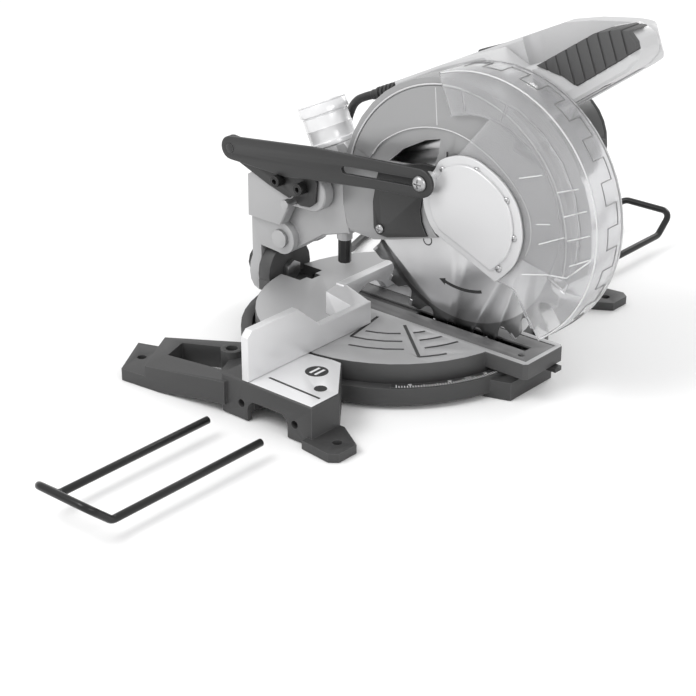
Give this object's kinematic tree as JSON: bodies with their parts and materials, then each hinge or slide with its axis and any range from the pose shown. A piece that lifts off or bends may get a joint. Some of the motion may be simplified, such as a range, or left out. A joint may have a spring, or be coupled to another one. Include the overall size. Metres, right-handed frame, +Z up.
{
  "type": "mitre saw",
  "caption": "Bench mitre saw: turntable base with fence and wire support bars, tilting head bracket, chop head with toothed blade, guards, motor, D-handle and coiled power cord.",
  "frame": {"origin": "centre of the footprint of the saw without its cord, on the surface that it stands on", "axes": "+X to the right along the fence, -Y towards the user, +Z up"},
  "size_m": [0.7263, 0.3803, 0.2941],
  "materials": {
    "cast_dark": "fine textured dark grey coating",
    "machined_light": "machined and brushed",
    "silver_cast": "satin light grey casting",
    "steel": "ground steel",
    "dark_metal": "black oxide",
    "black_wire": "glossy black enamel",
    "black_plastic": "fine matt moulding",
    "grey_plastic": "fine matt moulding",
    "grip_rubber": "ribbed soft rubber",
    "cord_rubber": "smooth cable sheath",
    "clear_plastic": "clear moulded plastic",
    "pointer_steel": "bare pressed steel",
    "winding": "wound copper and steel laminations"
  },
  "bodies": {
    "base": {"base_frame": "cast_dark", "mitre_scale": "dark_metal", "fence": "machined_light", "fence_screw_left": "dark_metal", "fence_screw_right": "dark_metal", "pivot_bolt": "steel", "cord": "cord_rubber", "cord_coil": "cord_rubber", "plug": "black_plastic"},
    "left_bar": {"left_extension_bar": "black_wire"},
    "right_bar": {"right_extension_bar": "black_wire"},
    "left_lock": {"left_lock_screw": "dark_metal"},
    "right_lock": {"right_lock_screw": "dark_metal"},
    "table": {"turntable": "cast_dark", "kerf_insert": "black_plastic", "insert_screw_front": "dark_metal", "insert_screw_rear": "dark_metal", "mitre_pointer": "pointer_steel", "bevel_bolt": "steel"},
    "mitre_lock": {"mitre_lock_lever": "black_plastic"},
    "bevel": {"bevel_bracket": "silver_cast", "hinge_pin": "steel", "return_spring": "steel", "link_plate": "dark_metal", "link_plate_screw_front": "dark_metal", "link_plate_screw_rear": "dark_metal"},
    "bevel_lock": {"bevel_lock_lever": "black_plastic"},
    "transport_lock": {"transport_pin": "steel"},
    "head": {"head_arm": "silver_cast", "upper_guard": "silver_cast", "side_plate": "dark_metal", "side_plate_screw": "steel", "spindle_bearing": "machined_light", "depth_stop_screw": "dark_metal", "gear_cover": "silver_cast", "motor_housing": "black_plastic", "motor_end_cap": "black_plastic", "stator": "winding", "brush_cap_rear": "black_plastic", "brush_cap_front": "black_plastic", "handle_left_shell": "grey_plastic", "handle_right_shell": "grey_plastic", "soft_grip": "grip_rubber", "switch_block": "black_plastic", "dust_port": "grey_plastic", "strain_relief": "black_plastic"},
    "moving_guard": {"clear_guard": "clear_plastic", "hub_plate": "silver_cast"},
    "guard_link": {"slotted_bar": "dark_metal", "guard_link_screw": "steel"},
    "blade": {"saw_blade": "steel", "spindle": "steel", "outer_flange": "steel", "arbor_bolt": "steel", "spindle_gear": "steel"},
    "rotor": {"armature": "winding"},
    "trigger_key": {"trigger": "black_plastic"},
    "lock_off": {"lock_off_button": "black_plastic"},
    "spindle_lock": {"spindle_lock_button": "black_plastic"}
  },
  "joints": [
    {"name": "left_bar_slide", "type": "slide", "parent": "base", "child": "left_bar", "axis": [1, 0, 0], "range_m": [0, 0.072]},
    {"name": "right_bar_slide", "type": "slide", "parent": "base", "child": "right_bar", "axis": [1, 0, 0], "range_m": [-0.022, 0.015]},
    {"name": "left_lock_turn", "type": "hinge", "parent": "base", "child": "left_lock", "pos_m": [-0.1285, -0.03312, 0.02], "axis": [0, 0, 1], "range_deg": [-90, 90]},
    {"name": "right_lock_turn", "type": "hinge", "parent": "base", "child": "right_lock", "pos_m": [0.1835, -0.03312, 0.02], "axis": [0, 0, 1], "range_deg": [-90, 90]},
    {"name": "mitre_turn", "type": "hinge", "parent": "base", "child": "table", "pos_m": [0.0275, 0.02288, 0.02], "axis": [0, 0, 1], "range_deg": [-45, 45], "deforming": ["cord"]},
    {"name": "mitre_lock_turn", "type": "hinge", "parent": "table", "child": "mitre_lock", "pos_m": [0.0405, -0.11512, 0.018], "axis": [0, 0, 1], "range_deg": [0, 25]},
    {"name": "bevel_tilt", "type": "hinge", "parent": "table", "child": "bevel", "pos_m": [0.0275, 0.15088, 0.033], "axis": [0, -1, 0], "range_deg": [0, 45], "deforming": ["cord"]},
    {"name": "bevel_lock_turn", "type": "hinge", "parent": "table", "child": "bevel_lock", "pos_m": [0.0275, 0.16888, 0.033], "axis": [0, 1, 0], "range_deg": [-60, 60]},
    {"name": "transport_pin_slide", "type": "slide", "parent": "bevel", "child": "transport_lock", "axis": [1, 0, 0], "range_m": [-0.004, 0.001]},
    {"name": "chop", "type": "hinge", "parent": "bevel", "child": "head", "pos_m": [0.0275, 0.12788, 0.07], "axis": [-1, 0, 0], "range_deg": [0, 26], "deforming": ["cord"]},
    {"name": "guard_turn", "type": "hinge", "parent": "head", "child": "moving_guard", "pos_m": [0.0275, -0.04512, 0.128], "axis": [1, 0, 0], "range_deg": [0, 67.6]},
    {"name": "guard_link_turn", "type": "hinge", "parent": "bevel", "child": "guard_link", "pos_m": [-0.005, 0.17288, 0.142], "axis": [-1, 0, 0], "range_deg": [0, 21.4]},
    {"name": "blade_spin", "type": "hinge", "parent": "head", "child": "blade", "pos_m": [0.0275, -0.04512, 0.128], "axis": [1, 0, 0], "continuous": true},
    {"name": "motor_spin", "type": "hinge", "parent": "head", "child": "rotor", "pos_m": [0.1, -0.06051, 0.17029], "axis": [1, 0, 0], "continuous": true},
    {"name": "trigger_pull", "type": "hinge", "parent": "head", "child": "trigger_key", "pos_m": [0.057, -0.111, 0.24484], "axis": [-1, 0, 0], "range_deg": [0, 6], "stiffness_Nm_per_rad": 2},
    {"name": "lock_off_press", "type": "slide", "parent": "head", "child": "lock_off", "axis": [0, -0.3681, -0.9298], "range_m": [0, 0.003], "stiffness_N_per_m": 200},
    {"name": "spindle_lock_press", "type": "slide", "parent": "head", "child": "spindle_lock", "axis": [0, -0.9397, -0.342], "range_m": [0, 0.0015], "stiffness_N_per_m": 300}
  ],
  "couplings": [
    {"joint": "guard_turn", "follows": "chop", "ratio": 2.6},
    {"joint": "guard_link_turn", "follows": "chop", "ratio": 0.823},
    {"joint": "motor_spin", "follows": "blade_spin", "ratio": -4}
  ]
}
